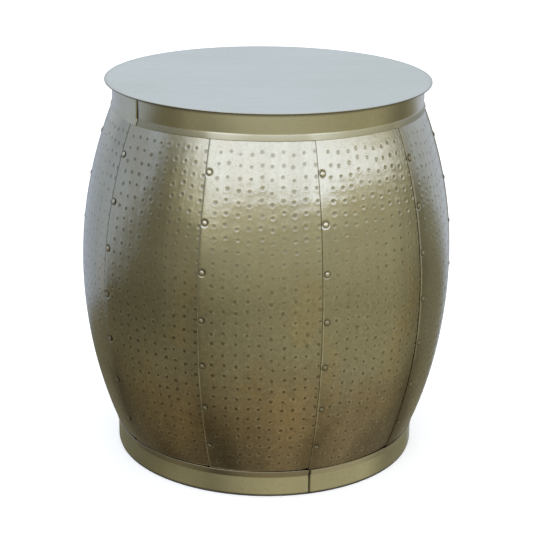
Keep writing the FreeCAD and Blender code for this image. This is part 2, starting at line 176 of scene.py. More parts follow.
def useGroup(tree, group, **values):
    node = tree.nodes.new("ShaderNodeGroup")
    node.node_tree = group
    for name, value in values.items():
        plug(node.inputs[name], value)
    return {socket.name: Wire(tree, socket) for socket in node.outputs}


def finishTree(given, target, shaped):
    # the last steps of a geometry tree: real points and faces, with their finish
    real = addNode(shaped.tree, "GeometryNodeRealizeInstances", {"Geometry": shaped})
    inputs = {"Geometry": real, "Material": given["finish"]}
    plug(target.inputs[0], addNode(shaped.tree, "GeometryNodeSetMaterial", inputs))


def newObject(name, data):
    made = bpy.data.objects.new(name, data)
    bpy.context.collection.objects.link(made)
    return made


def runTree(name, tree, values, extra=None):
    # evaluates a geometry tree on an empty mesh and keeps the result as a plain mesh object
    carrier = newObject(name + "Carrier", bpy.data.meshes.new(name + "Start"))
    modifier = carrier.modifiers.new("shape", "NODES")
    modifier.node_group = tree
    for item in tree.interface.items_tree:
        if item.item_type == "SOCKET" and item.in_out == "INPUT" and item.name in values:
            modifier[item.identifier] = values[item.name]
    if extra:
        extra(carrier)
    bpy.context.view_layer.update()
    ready = carrier.evaluated_get(bpy.context.evaluated_depsgraph_get())
    mesh = bpy.data.meshes.new_from_object(ready)
    mesh.name = name
    piece = newObject(name, mesh)
    carrier.modifiers.clear()
    bpy.data.objects.remove(carrier)
    for face in mesh.polygons:
        face.use_smooth = True
    return piece


def newPiece(name, points, faces, finish=None, smooth=True):
    # a mesh object from points in millimetres; faces with more than four corners stay flat
    mesh = bpy.data.meshes.new(name)
    mesh.from_pydata([[part * mm for part in point] for point in points], [], faces)
    if finish:
        mesh.materials.append(finish)
    for face in mesh.polygons:
        face.use_smooth = smooth and len(face.vertices) < 5
    return newObject(name, mesh)


def dress(piece, node):
    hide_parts(node)
    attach(piece, "root")


# Shader groups shared by several finishes.

def buildBrushing():
    # long fine scratches along one direction, as a mask and as a height
    tree, given, target = newTree("brushing", "ShaderNodeTree",
        {"Vector": "Vector", "Fineness": "Float", "Stretch": "Float"}, {"Mask": "Float", "Height": "Float"})
    x, y, z = given["Vector"].parts()
    fineness, stretched = given["Fineness"], given["Fineness"] * given["Stretch"]
    lines = combine(x * fineness, y * stretched, z * fineness).noise(1.0, 3.0, 0.65)
    bands = combine(x * fineness * 0.22, y * stretched * 0.2, z * fineness * 0.22).noise(1.0, 2.0, 0.5)
    plug(target.inputs["Mask"], (lines * 0.55 + bands * 0.45).ramp(0.35, 0.65))
    plug(target.inputs["Height"], lines * 0.7 + bands * 0.3)
    return tree


def buildPatina():
    # cloudy tarnish at two scales with small spots
    tree, given, target = newTree("patina", "ShaderNodeTree",
        {"Vector": "Vector", "Scale": "Float", "Spots": "Float"}, {"Cloud": "Float", "Speck": "Float"})
    cloud = given["Vector"].noise(given["Scale"], 4.0, 0.55)
    speck = given["Vector"].noise(given["Scale"] * 34.0, 2.0, 0.6)
    plug(target.inputs["Cloud"], cloud.ramp(0.34, 0.68))
    plug(target.inputs["Speck"], speck.ramp(0.60, 0.74) * given["Spots"])
    return tree


def buildGrain():
    # fine uneven surface of beaten or rolled sheet, as a height
    tree, given, target = newTree("sheetGrain", "ShaderNodeTree",
        {"Vector": "Vector", "Scale": "Float"}, {"Height": "Float"})
    coarse = given["Vector"].noise(given["Scale"], 2.0, 0.5)
    fine = given["Vector"].noise(given["Scale"] * 4.0, 2.0, 0.6)
    plug(target.inputs["Height"], coarse * 0.7 + fine * 0.3)
    return tree


brushingGroup = buildBrushing()
patinaGroup = buildPatina()
grainGroup = buildGrain()


def newMaterial(name, **fixed):
    material = bpy.data.materials.new(name)
    material.use_nodes = True
    tree = material.node_tree
    tree.nodes.clear()
    shader = tree.nodes.new("ShaderNodeBsdfPrincipled")
    output = tree.nodes.new("ShaderNodeOutputMaterial")
    tree.links.new(shader.outputs[0], output.inputs["Surface"])
    for socket, value in fixed.items():
        shader.inputs[socket.replace("_", " ")].default_value = value
    return material, tree, shader


class Finish:
    # a material under way, with what every finish here starts from: place, tarnish clouds, specks and grain
    def __init__(self, name, tarnishScale, spots, grainScale, **fixed):
        self.material, self.tree, self.shader = newMaterial(name, **fixed)
        self.place = addNode(self.tree, "ShaderNodeTexCoord", out="Object")
        patina = useGroup(self.tree, patinaGroup, Vector=self.place, Scale=tarnishScale, Spots=spots)
        self.cloud, self.speck = patina["Cloud"], patina["Speck"]
        self.grain = useGroup(self.tree, grainGroup, Vector=self.place, Scale=grainScale)["Height"]

    def ownValue(self, name, out="Fac"):
        return addNode(self.tree, "ShaderNodeAttribute", out=out, attribute_name=name)

    def brush(self, fineness, stretch, vector):
        group = useGroup(self.tree, brushingGroup, Vector=vector, Fineness=fineness, Stretch=stretch)
        return group["Mask"], group["Height"]

    def done(self, colour, roughness, normal, metallic=None):
        wires = {"Base Color": colour, "Roughness": roughness, "Normal": normal, "Metallic": metallic}
        for name, value in wires.items():
            plug(self.shader.inputs[name], value)
        return self.material


# Finishes.

staveFinish = {
    "bright": (0.57, 0.54, 0.43),
    "tarnish": (0.40, 0.36, 0.25),
    "belly": (0.43, 0.395, 0.295),
    "foot": (0.39, 0.32, 0.21),
    "warm": (0.50, 0.39, 0.23),
    "grey": (0.42, 0.41, 0.35),
    "rubbed": (0.80, 0.75, 0.59),
    "dirt": (0.12, 0.090, 0.043),
    "roughness": 0.17,
    "dentDirt": 0.42,
    "footDentDirt": 0.82,
    "edgeWidth": 0.0008,
    "lapShare": 0.0355,         # overlap past the rivet line, as a share of the stave's width
}


def makeStaveBrass():
    brass = Finish("hammeredBrass", 9.0, 0.5, 330.0, Metallic=1.0, Coat_Weight=0.1, Coat_Roughness=0.2)
    look, cloud = staveFinish, brass.cloud
    side = brass.place.parts()[0]
    across, up, seam = brass.ownValue("sheetPlace", "Vector").parts()
    dent, ridge = brass.ownValue("dent"), brass.ownValue("ridge")
    mask, scratches = brass.brush(620.0, 0.02, combine(across, up, seam))
    # tarnish gathers in clouds and in long upright wipe marks, and towards the foot
    wipe = combine(across * 55.0, up * 2.2, seam).noise(1.0, 3.0, 0.55).ramp(0.40, 0.66)
    cloudy = (cloud * 0.5 + wipe * 0.35 + mask * 0.2).within(0.0, 1.0)
    belly = (up + cloud * 0.02).ramp(0.090, 0.015)
    low = (up - cloud * 0.04).ramp(-0.055, -0.16)
    upper = (cloudy * 0.55).blend(look["bright"], look["tarnish"])
    middle = (cloudy * 0.35).blend(look["belly"], look["tarnish"])
    foot = (cloudy * 0.3).blend(look["foot"], look["dirt"])
    colour = low.blend(belly.blend(upper, middle), foot)
    # warm and grey patches, fine mottling, and rims of the hammer marks rubbed bright with a painted
    # highlight on them, stronger low down
    warm = combine(across * 14.0, up * 7.0, cloud + seam * 3.0).noise(1.0, 3.0, 0.6)
    mottle = brass.place.noise(240.0, 4.0, 0.7)
    rubbedRimsAndHighlight = ridge * (mottle.ramp(0.40, 0.60) * (belly * 0.40 + 0.12) + 0.02)
    colour = layColours(colour,
        (warm.ramp(0.52, 0.72) * (belly * 0.3 + 0.2), look["warm"]),
        (warm.ramp(0.46, 0.28) * 0.35, look["grey"]),
        (mottle.ramp(0.52, 0.30) * (belly * 0.18 + 0.12), look["dirt"]),
        (mottle.ramp(0.56, 0.74) * (belly * 0.25 + 0.1), look["rubbed"]),
        (rubbedRimsAndHighlight, look["rubbed"]))
    # a painted shaded ring round each rivet with some dirt in it, dirt and a painted shadow along the seams,
    # and dirt smoked on near the seams low down
    nearRivet = rivetDistance(across, up, seam)
    ring = nearRivet.ramp(0.0052, 0.0038) * (cloud * 0.4 + 0.6) * (up.ramp(-0.09, 0.0) * 0.5 + 0.5)
    lap = (across - seam) * look["lapShare"]
    leftSide = side.ramp(-0.08, -0.14)
    # the dark line beside each lapped edge is partly dirt and partly a painted shadow of the lap, wider on
    # the left of the drum
    seamDirtAndShadow = (seam + lap).size().ramp(leftSide * 0.0022 + look["edgeWidth"], leftSide * 0.0012 + 0.0002)
    seamDirtAndShadow = seamDirtAndShadow * (belly * side.ramp(0.03, -0.05) * 0.45 + 0.3 + leftSide * 0.6)
    seamDirtAndShadow = seamDirtAndShadow * (1 - side.ramp(0.08, 0.13) * 0.85)
    # the lapping cut edge is lighter low down: partly wear, partly a painted highlight where the edge would
    # catch the light
    edge = across + lap
    wornEdgeAndHighlight = edge.ramp(0.0019, 0.0008) * belly * (mottle.ramp(0.35, 0.60) * 0.5 + 0.5)
    colour = (wornEdgeAndHighlight * side.ramp(0.13, 0.08)).blend(colour, look["rubbed"])
    smoke = across.size().least(seam.size()).ramp(0.030, 0.004) * low * cloud
    # the hammer marks hold more dirt low down and left of the front, and less at both sides of the drum
    filled = up.ramp(0.08, -0.10) * (look["footDentDirt"] - look["dentDirt"]) + look["dentDirt"]
    filled = filled + (side + up.ramp(0.02, 0.08) * 0.05).ramp(-0.02, -0.09) * up.ramp(-0.12, -0.02) * 0.28
    filled = filled - side.ramp(0.05, 0.14) * 0.22 - up.ramp(-0.12, -0.18) * 0.22
    rightShoulder = side.ramp(0.10, 0.14) * up.ramp(0.02, 0.06) * (side + up * 0.12).ramp(0.172, 0.162)
    filled = (filled + rightShoulder * 0.38) * (side.ramp(-0.190, -0.168) * 0.5 + 0.5)
    marks = dent.ramp(-0.1, 0.95) * (filled - cloud * 0.15)
    rolled = edge.ramp(0.0035, 0.0010) * side.ramp(0.08, 0.13)
    shut = edge.ramp(0.0016, 0.0008) * leftSide * up.ramp(-0.11, -0.06)
    # this dirt also carries the painted shade round the rivets and the painted shadow along the seams
    dirt = greatest(marks, rolled * up.ramp(0.02, 0.08) * 0.4, shut * 0.85, ring * 0.75, seamDirtAndShadow, smoke * 0.6,
        brass.speck * 0.35).within(0.0, 1.0)
    colour = dirt.blend(colour, look["dirt"])
    roughness = cloudy * 0.12 + dirt * 0.22 + dent * 0.10 + rolled * 0.30 + (look["roughness"] - 0.06)
    # a dish round each rivet, and the unevenness of the beaten sheet
    dish = nearRivet.ramp(0.0028, 0.0060)
    beaten = brass.place.noise(11.0, 1.0) + brass.place.noise(48.0, 1.0) * 0.14
    normal = stackBumps((dish, 0.45, 0.0010), (beaten, 0.8, 0.0021), (brass.grain, 0.16, 0.0006),
        (scratches, 0.10, 0.0004))
    return brass.done(colour, roughness, normal)


def rivetDistance(across, up, seam):
    # distance in metres from the nearest rivet of the left or the right seam
    step = math.radians(drum["rivetStep"]) * drum["arcRadius"] * mm
    reach = (drum["rivetsPerSeam"] - 1) / 2
    turns = (up / step).within(-reach, reach)
    rise = (turns - turns.round()) * step + (up - up.within(-reach * step, reach * step))
    left, right = ((edge * edge + rise * rise).sqrt() for edge in (across, seam))
    return left.least(right)


collarFinish = {
    "bright": (0.69, 0.645, 0.495),
    "tarnish": (0.445, 0.405, 0.285),
    "lip": (0.57, 0.54, 0.39),
    "lipShade": (0.36, 0.335, 0.235),
    # colour of the painted highlight along one stretch of the upper strip
    "worn": (0.66, 0.64, 0.55),
    "dirt": (0.10, 0.08, 0.05),
    "roughness": 0.16,
    "highlightPlace": 0.160,       # metres along the strip from its seam
    "highlightReach": 0.110,
}


def makeCollarBrass():
    brass = Finish("collarBrass", 7.0, 0.35, 420.0, Metallic=1.0, Coat_Weight=0.15, Coat_Roughness=0.2)
    look = collarFinish
    height = brass.place.parts()[2]
    around, up, seam = brass.ownValue("stripPlace", "Vector").parts()
    mask, scratches = brass.brush(900.0, 0.02, combine(up, around, seam))
    # painted shade darkens the upper strip's left and front and the base ring's left; a painted highlight
    # lightens one stretch of the upper strip at the front
    upper = height.ramp(0.2, 0.3)
    rubbed = around.near(look["highlightPlace"], look["highlightReach"], 0.02)
    dull = upper * around.ramp(0.44, 0.37) * 0.45 + (1 - upper) * around.near(0.925, 0.09, 0.03) * 0.7
    cloudy = (brass.cloud * 0.6 + mask * 0.35 + dull - upper * rubbed * 0.75).within(0.0, 1.4)
    colour = (cloudy * 0.6).blend(look["bright"], look["tarnish"])
    colour = (upper * rubbed * 0.6).blend(colour, look["worn"])
    # dirt at the seam; a painted shadow under the top, painted shade near the floor, and painted shade on the
    # top edge of the lower lip and in its bend over the left front
    slit = seam.ramp(0.0012, 0.0) * (upper * 0.35 + 0.6)
    shadowUnderTop = height.ramp(0.4500, 0.4538) * 0.85
    shadeNearFloor = height.ramp(0.0048, 0.0022) * 0.4
    lowerStrip = height.ramp(0.034, 0.033)
    lipEdgeShade = height.ramp(0.0314, 0.0321) * lowerStrip * 0.55
    lipBend = height.ramp(0.0235, 0.0255) * lowerStrip * around.ramp(0.90, 0.97) * 0.5
    dirt = greatest(slit, shadowUnderTop, shadeNearFloor, brass.speck * 0.4, lipEdgeShade, lipBend)
    # the lip of the upper strip carries a painted highlight along some stretches and painted shade along the
    # others
    lip = height.ramp(0.4325, 0.4300) * upper * (1 - around.ramp(0.98, 1.03) * 0.65)
    lipHighlight = (around.ramp(0.06, 0.14) * around.ramp(0.38, 0.24)).most(around.ramp(0.42, 0.46))
    lipTone = lipHighlight.blend(look["lipShade"], look["lip"])
    colour = layColours(colour, (dirt, look["dirt"]), (lip * 0.75, lipTone))
    roughness = cloudy * 0.10 + dirt * 0.2 + lip * 0.25 + (look["roughness"] - 0.04)
    return brass.done(colour, roughness, stackBumps((brass.grain, 0.08, 0.0005), (scratches, 0.10, 0.0003)))


topFinish = {
    "bright": (0.54, 0.53, 0.465),
    "tarnish": (0.43, 0.415, 0.345),
    "dirt": (0.24, 0.215, 0.16),
    "roughness": 0.26,
}


def makeTopBrass():
    brass = Finish("brushedTopBrass", 6.0, 0.5, 380.0, Metallic=1.0, Coat_Weight=0.2, Coat_Roughness=0.25)
    look = topFinish
    x, y, z = brass.place.parts()
    mask, scratches = brass.brush(950.0, 0.018, combine(y, x, z))
    reach = (x * x + y * y).sqrt()
    # painted shade on a band round the rim and on the edge and underside of the sheet
    rim = reach.ramp(0.1885, 0.1926) * 0.35
    edge = reach.ramp(0.1922, 0.1928) * z.ramp(0.45695, 0.4564)
    cloudy = (brass.cloud * 0.5 + mask * 0.4).within(0.0, 1.0)
    dirt = greatest(rim, edge, brass.speck * 0.35)
    colour = dirt.blend((cloudy * 0.55).blend(look["bright"], look["tarnish"]), look["dirt"])
    roughness = cloudy * 0.10 + dirt * 0.12 + (look["roughness"] - 0.04)
    return brass.done(colour, roughness, stackBumps((brass.grain, 0.06, 0.0005), (scratches, 0.14, 0.0003)))


rivetFinish = {
    "bright": (0.74, 0.70, 0.54),
    "dull": (0.36, 0.32, 0.22),
    "dirt": (0.16, 0.13, 0.08),
    "roughness": 0.26,          # of the rubbed crown
    "footRoughness": 0.55,      # of the dirt round it
}


def makeRivetBrass():
    brass = Finish("rubbedRivetBrass", 60.0, 0.6, 700.0, Metallic=1.0)
    look = rivetFinish
    crown = brass.ownValue("crown")     # 1 on top of the head, 0 at its foot
    worn = (crown.ramp(0.15, 0.75) + brass.cloud * 0.25 - 0.15).within(0.0, 1.0)
    # duller towards the floor and at one side
    side, height = brass.place.parts()[::2]
    dull = height.ramp(0.34, 0.20).most(side.ramp(0.08, 0.14) * 0.9)
    colour = worn.blend(look["dirt"], dull.blend(look["bright"], look["dull"]))
    colour = (brass.speck * 0.6).blend(colour, look["dirt"])
    roughness = look["footRoughness"] - worn * (look["footRoughness"] - look["roughness"]) + dull * 0.20
    return brass.done(colour, roughness, stackBumps((brass.grain, 0.25, 0.0004)))


lacquerFinish = {
    "black": (0.018, 0.018, 0.018),
    "faded": (0.045, 0.042, 0.038),
    "rust": (0.16, 0.11, 0.07),
    "roughness": 0.38,
}


def makeHoopLacquer():
    lacquer = Finish("blackBarLacquer", 14.0, 0.8, 500.0, Coat_Weight=0.2, Coat_Roughness=0.3)
    look, cloud, speck = lacquerFinish, lacquer.cloud, lacquer.speck
    colour = speck.blend((cloud * 0.6).blend(look["black"], look["faded"]), look["rust"])
    normal = stackBumps((lacquer.grain, 0.35, 0.0006))
    return lacquer.done(colour, cloud * 0.2 + look["roughness"], normal, speck * 0.5)


rubberFinish = {
    "dark": (0.050, 0.047, 0.040),
    "pale": (0.085, 0.080, 0.068),
    "dust": (0.14, 0.13, 0.12),
    "roughness": 0.72,
}


def makeFootRubber():
    rubber = Finish("footRubber", 22.0, 0.5, 900.0)
    look, cloud = rubberFinish, rubber.cloud
    colour = (rubber.speck * 0.6).blend(cloud.blend(look["dark"], look["pale"]), look["dust"])
    return rubber.done(colour, cloud * 0.12 + look["roughness"], stackBumps((rubber.grain, 0.5, 0.0005)))


staveBrass = makeStaveBrass()
collarBrass = makeCollarBrass()
topBrass = makeTopBrass()
rivetBrass = makeRivetBrass()
hoopLacquer = makeHoopLacquer()
footRubber = makeFootRubber()
print("finishes made")


# Staves.

staves = {
    "columns": 10,              # hammer marks across a stave
    "rows": 29,                 # hammer marks up a stave
    "cell": 8,                  # mesh steps across one hammer mark and its surround
    "leftSteps": 7,             # mesh steps beside, above and below the field of marks
    "rightSteps": 4,
    "endSteps": 12,
    "firstColumn": 3.0,         # degrees from the left rivet line to the first marks
    "lastColumn": 2.0,          # degrees from the last marks to the right rivet line
    "rowReach": 188.0,          # millimetres along the curve from the belly to the end rows
    "markRadius": 3.0,
    "markDepth": 0.34,
    "scatter": 1.5,
    "drift": 2.4,
    "flatAtBelly": 2.3,         # a stave is flatter than the round of the drum by this much
    "flatAtLip": 0.4,
    # beaten by hand, so no two are alike: share of the flatness, and how hard each was struck
    "flatShare": [1.0, 1.0, 0.3, 0.8, 0.6, 0.9, 0.7, 1.0, 0.3, 1.0],
    "strike": [0.65, 0.87, 1.0, 1.0, 0.9, 1.1, 1.0, 0.9, 0.65, 0.75],
    "swell": 0.55,              # slow unevenness of the beaten sheet
    "edgeRound": 0.88,
    "edgeWave": 0.35,           # degrees, the cut edge isn't quite straight
    "seed": 7,
}


def sheetSwell(angle, height, amount):
    # slow unevenness that neighbouring sheets and their rivets share; angle in radians, height in mm
    spot = combine(angle.cos() * 2.3, angle.sin() * 2.3, height * 0.0085)
    calm = height.near(drum["middle"], 200.0, 175.0)
    return (spot.noise(1.0, 1.5) - 0.5) * 2.0 * calm * amount


def randomValue(given, out, kind, **inputs):
    inputs = {"Seed": given["seed"], **inputs}
    return addNode(given["seed"].tree, "FunctionNodeRandomValue", inputs, out, data_type=kind)


def buildStaveTree():
    tree, given, target = newTree("hammeredStave", "GeometryNodeTree",
        {"direction": "Float", "columns": "Int", "rows": "Int", "cell": "Int", "markRadius": "Float",
         "markDepth": "Float", "scatter": "Float", "drift": "Float", "flatAtBelly": "Float",
         "flatAtLip": "Float", "swell": "Float", "seed": "Int", "finish": "Material"},
        {"Geometry": "Geometry"})
    columns, rows, steps, seed = (given[name] for name in ("columns", "rows", "cell", "seed"))
    halfSpan, halfPitch, arcRadius = drum["halfSpan"], drum["halfPitch"], drum["arcRadius"]
    leftSteps, rightSteps, endSteps = (staves[name] for name in ("leftSteps", "rightSteps", "endSteps"))
    # the field of marks, in degrees across and in millimetres along the sheet
    firstMark = staves["firstColumn"] - halfPitch
    lastMark = halfPitch - staves["lastColumn"]
    columnPitch = (lastMark - firstMark) / (staves["columns"] - 1)
    rowPitch = 2 * staves["rowReach"] / (staves["rows"] - 1)
    zoneLeft = firstMark - columnPitch / 2
    zoneRight = lastMark + columnPitch / 2
    zoneTop = staves["rowReach"] + rowPitch / 2
    neckReach = arcRadius * math.asin(drum["neckOffset"] / arcRadius)
    endLength = neckReach + drum["neckLength"] - zoneTop

    width = columns * steps + (leftSteps + rightSteps)
    length = rows * steps + endSteps * 2
    inputs = {"Size X": width, "Size Y": length, "Vertices X": width + 1, "Vertices Y": length + 1}
    grid = addNode(tree, "GeometryNodeMeshGrid", inputs, "Mesh")
    x, y = addNode(tree, "GeometryNodeInputPosition").parts()[:2]
    stepX = (x + width * 0.5).round()
    stepY = (y + length * 0.5).round()
    cellX = (stepX - leftSteps) / steps
    cellY = (stepY - endSteps) / steps
    column = cellX.floor().most(0.0).least(columns - 1)
    row = cellY.floor().most(0.0).least(rows - 1)
    inX = (cellX - column) * 2 - 1
    inY = (cellY - row) * 2 - 1
    ringStep = inX.size().most(inY.size())
    inner = ringStep < 0.99
    fromCentre = (inX * inX + inY * inY).sqrt().most(0.0001)

    # each mark is a set of rings about its own centre, moved off the grid by chance
    mark = column * 64 + row
    chanceX, chanceY, chanceDepth = randomValue(given, "Value", "FLOAT_VECTOR", ID=mark).parts()
    chanceSize = randomValue(given, 1, "FLOAT", ID=mark, Seed=seed + 50)
    harder = (row / rows).ramp(0.60, 0.90)      # the shoulder was beaten harder
    markReach = given["markRadius"] * (chanceSize * 0.35 + 0.8) * (harder * 0.1 + 1)
    ring = markReach * (ringStep * 2).least(1.0) + (ringStep - 0.5).most(0.0) * 2.2
    seatX = inner.choose(column + 0.5, cellX)
    seatY = inner.choose(row + 0.5, cellY)
    wander = combine(seatX * 0.33, seatY * 0.16, seed * 3.7).noise(1.0, 1.0, out="Color").parts()
    stagger = combine(seatX * 0.8, seatY * 0.05, seed * 1.9 + 20).noise(1.0, 0.0)
    inside = seatX.least(columns - seatX).least(seatY).least(rows - seatY).within(0.0, 1.0)
    driftX, driftY = ((part - 0.5) * 2.2 * given["drift"] for part in wander[:2])
    moveX = driftX * inside
    moveY = (driftY + (stagger - 0.5) * 11.0) * inside
    ownX = inner * ((chanceX - 0.5) * 2 * given["scatter"] * 0.6 + ring * inX / fromCentre)
    ownY = inner * ((chanceY - 0.5) * 2 * given["scatter"] + ring * inY / fromCentre)

    along = (seatY.within(0.0, rows) * rowPitch - zoneTop) + moveY + ownY
    along = along + (stepY / endSteps - 1).least(0.0) * endLength
    along = along + ((stepY - endSteps - rows * steps) / endSteps).most(0.0) * endLength
    bent = along.within(-neckReach, neckReach)
    slope = bent / arcRadius
    roundRadius = slope.cos() * arcRadius + (drum["bellyRadius"] - drum["edgeStep"] - arcRadius)
    height = slope.sin() * arcRadius + (along - bent) + drum["middle"]
    degrees = seatX.within(0.0, columns) * columnPitch + zoneLeft
    degrees = degrees + (moveX + ownX) / roundRadius * degreesPerRadian
    pastMarks = ((stepX - leftSteps - columns * steps) / rightSteps).most(0.0)
    degrees = degrees + ((stepX / leftSteps).within(0.0, 1.0) ** 1.65 - 1) * (zoneLeft + halfSpan)
    degrees = degrees + pastMarks * (halfSpan - zoneRight)
    edgeWave = combine(height * 0.012, seed * 5.1, 0.0).noise(1.0, 1.0)
    leftEdge = (degrees * -1 - 17.0).within(0.0, 2.3) / 2.3
    degrees = degrees + (edgeWave - 0.5) * staves["edgeWave"] * leftEdge

    # depth of the mark, with a low rim thrown up round it; the sheet stays flat between marks
    bowl = (1 - ringStep * 2).most(0.0) ** 0.75
    rim = 1 - ((ringStep - 0.5).size() * 4.0).least(1.0)
    depth = inner * given["markDepth"] * (chanceDepth * 0.7 + 0.6) * (harder * 0.5 + 1) * (bowl - rim * 0.10)

    # a stave is flatter than the drum; the far end dips under the next sheet
    share = degrees / halfPitch
    rise = (height - drum["middle"]).size()
    flat = given["flatAtLip"] + (given["flatAtBelly"] - given["flatAtLip"]) * rise.ramp(196.0, 60.0)
    flat = flat * rise.ramp(205.5, 197.0)
    middlePart = (share * share - 1) * (share > -1.0).choose(1.0, 0.35)
    farPart = (share - 2) * (share - 2) - 1
    flattened = flat * (share > 1.0).choose(farPart, middlePart)

    turn = (given["direction"] + drum["staveTurn"]) * degree
    angle = turn + degrees * degree
    edgeRound = (1 - (stepX / 3).least(1.0)) ** 1.9 * staves["edgeRound"]
    inward = flattened + sheetSwell(angle, height, given["swell"]) - depth - edgeRound
    radius = roundRadius + inward * slope.cos()
    placeX = turn.sin() * drum["staveShift"] + radius * angle.cos()
    placeY = turn.cos() * -drum["staveShift"] + radius * angle.sin()
    placeZ = height + inward * slope.sin() * (along - bent).size().ramp(0.5, 0.0)
    # values for the finish, kept before the grid is bent: place on the sheet and dents
    fromLeft, fromRight = ((degrees + side) * roundRadius * degree for side in (halfPitch, -halfPitch))
    kept = (("sheetPlace", "FLOAT_VECTOR", combine(fromLeft * mm, along * mm, fromRight * mm)),
            ("dent", "FLOAT", inner * bowl ** 0.7),
            ("ridge", "FLOAT", inner * rim * (chanceDepth * 0.6 + 0.4)))
    for name, kind, value in kept:
        inputs = {"Geometry": grid, "Name": name, "Value": value}
        grid = addNode(tree, "GeometryNodeStoreNamedAttribute", inputs, data_type=kind, domain="POINT")
    inputs = {"Geometry": grid, "Position": combine(placeX * mm, placeY * mm, placeZ * mm)}
    finishTree(given, target, addNode(tree, "GeometryNodeSetPosition", inputs))
    return tree


def thicken(carrier):
    solid = carrier.modifiers.new("sheet", "SOLIDIFY")
    solid.thickness = drum["sheet"] * mm
    solid.offset = -1.0


def makeStaves():
    tree = buildStaveTree()
    for index in range(drum["staveCount"]):
        name = f"{index + 1:02d}"
        strike, flatShare = staves["strike"][index], staves["flatShare"][index]
        own = dict(staves, direction=drum["firstSeam"] + 2 * drum["halfPitch"] * (index + 0.5),
            markDepth=staves["markDepth"] * strike, flatAtBelly=staves["flatAtBelly"] * flatShare,
            flatAtLip=staves["flatAtLip"] * flatShare, seed=staves["seed"] + index + 1, finish=staveBrass)
        dress(runTree("hammeredStave_" + name, tree, own, thicken), "stave_" + name)


makeStaves()
print("staves made")


# Rivets.

rivets = {
    "headDiameter": 7.0,
    "headHeight": 1.2,
    "shankDiameter": 3.2,
    "tailDiameter": 5.0,
    "tailHeight": 1.2,
    "grip": 2.2,
    "lean": 3.0,                # degrees, no rivet is quite square
    "sides": 16,
    "seed": 3,
}


def makeRivetShape():
    # one turned rivet along X, with its seat at the origin: domed head outside, flattened tail inside
    head, tail, shank = (rivets[name] / 2 for name in ("headDiameter", "tailDiameter", "shankDiameter"))
    rise, grip, tailHeight, sides = (rivets[name] for name in ("headHeight", "grip", "tailHeight", "sides"))
    dome = (head ** 2 + rise ** 2) / (2 * rise)
    profile = []
    for step in range(6):
        tilt = math.asin(head / dome) * step / 6
        profile.append((rise - dome + dome * math.cos(tilt), dome * math.sin(tilt)))
    profile += [(0.28, head), (0.02, head - 0.12), (0.0, shank), (-grip, shank), (-grip, tail - 0.15),
        (-grip - 0.3, tail), (-grip - tailHeight * 0.85, tail * 0.8)]
    points = [(rise, 0.0, 0.0)]
    faces = []
    for along, reach in profile[1:]:
        for side in range(sides):
            turn = 2 * math.pi * side / sides
            points.append((along, reach * math.cos(turn), reach * math.sin(turn)))
    last = len(points) - sides
    points.append((-grip - tailHeight, 0.0, 0.0))
    for side in range(sides):
        after = (side + 1) % sides
        faces.append((0, 1 + side, 1 + after))
        for low in range(1, last, sides):
            faces.append((low + side, low + sides + side, low + sides + after, low + after))
        faces.append((last + side, len(points) - 1, last + after))
    shape = newPiece("rivetShape", points, faces)
    crown = shape.data.attributes.new("crown", "FLOAT", "POINT")
    crown.data.foreach_set("value", [max(0.0, point[0] / rise) for point in points])
    return shape


def buildRivetTree():
    tree, given, target = newTree("seamRivets", "GeometryNodeTree",
        {"shape": "Object", "direction": "Float", "count": "Int", "spacing": "Float", "lean": "Float",
         "swell": "Float", "seed": "Int", "finish": "Material"},
        {"Geometry": "Geometry"})
    line = addNode(tree, "GeometryNodeMeshLine", {"Count": given["count"]}, "Mesh")
    index = addNode(tree, "GeometryNodeInputIndex")
    slope = (index - (given["count"] - 1) * 0.5) * given["spacing"] * degree
    angle = given["direction"] * degree
    seat = drum["rivetSeat"]
    height = slope.sin() * seat + drum["middle"]
    swell = sheetSwell(angle, height, given["swell"])
    radius = slope.cos() * (swell + seat) + (drum["bellyRadius"] - drum["arcRadius"])
    place = combine(angle.cos() * radius * mm, angle.sin() * radius * mm, (height + swell * slope.sin()) * mm)
    points = addNode(tree, "GeometryNodeSetPosition", {"Geometry": line, "Position": place})
    roll, leanY, leanZ = randomValue(given, "Value", "FLOAT_VECTOR").parts()
    lean = given["lean"] * degree * 2
    turn = combine(roll * 6.28, slope * -1 + (leanY - 0.5) * lean, angle + (leanZ - 0.5) * lean)
    shape = addNode(tree, "GeometryNodeObjectInfo", {"Object": given["shape"]}, "Geometry")
    inputs = {"Points": points, "Instance": shape, "Rotation": turn}
    finishTree(given, target, addNode(tree, "GeometryNodeInstanceOnPoints", inputs))
    return tree


def makeRivets():
    shape = makeRivetShape()
    tree = buildRivetTree()
    for index in range(drum["staveCount"]):
        name = f"{index + 1:02d}"
        own = dict(rivets, shape=shape, direction=drum["firstSeam"] + 2 * drum["halfPitch"] * index,
            count=drum["rivetsPerSeam"], spacing=drum["rivetStep"], swell=staves["swell"],
            seed=rivets["seed"] + index + 1, finish=rivetBrass)
        dress(runTree("rivetRow_" + name, tree, own), "seam_rivets_" + name)
    bpy.data.objects.remove(shape)


makeRivets()
print("rivets made")


# Turned and rolled pieces.

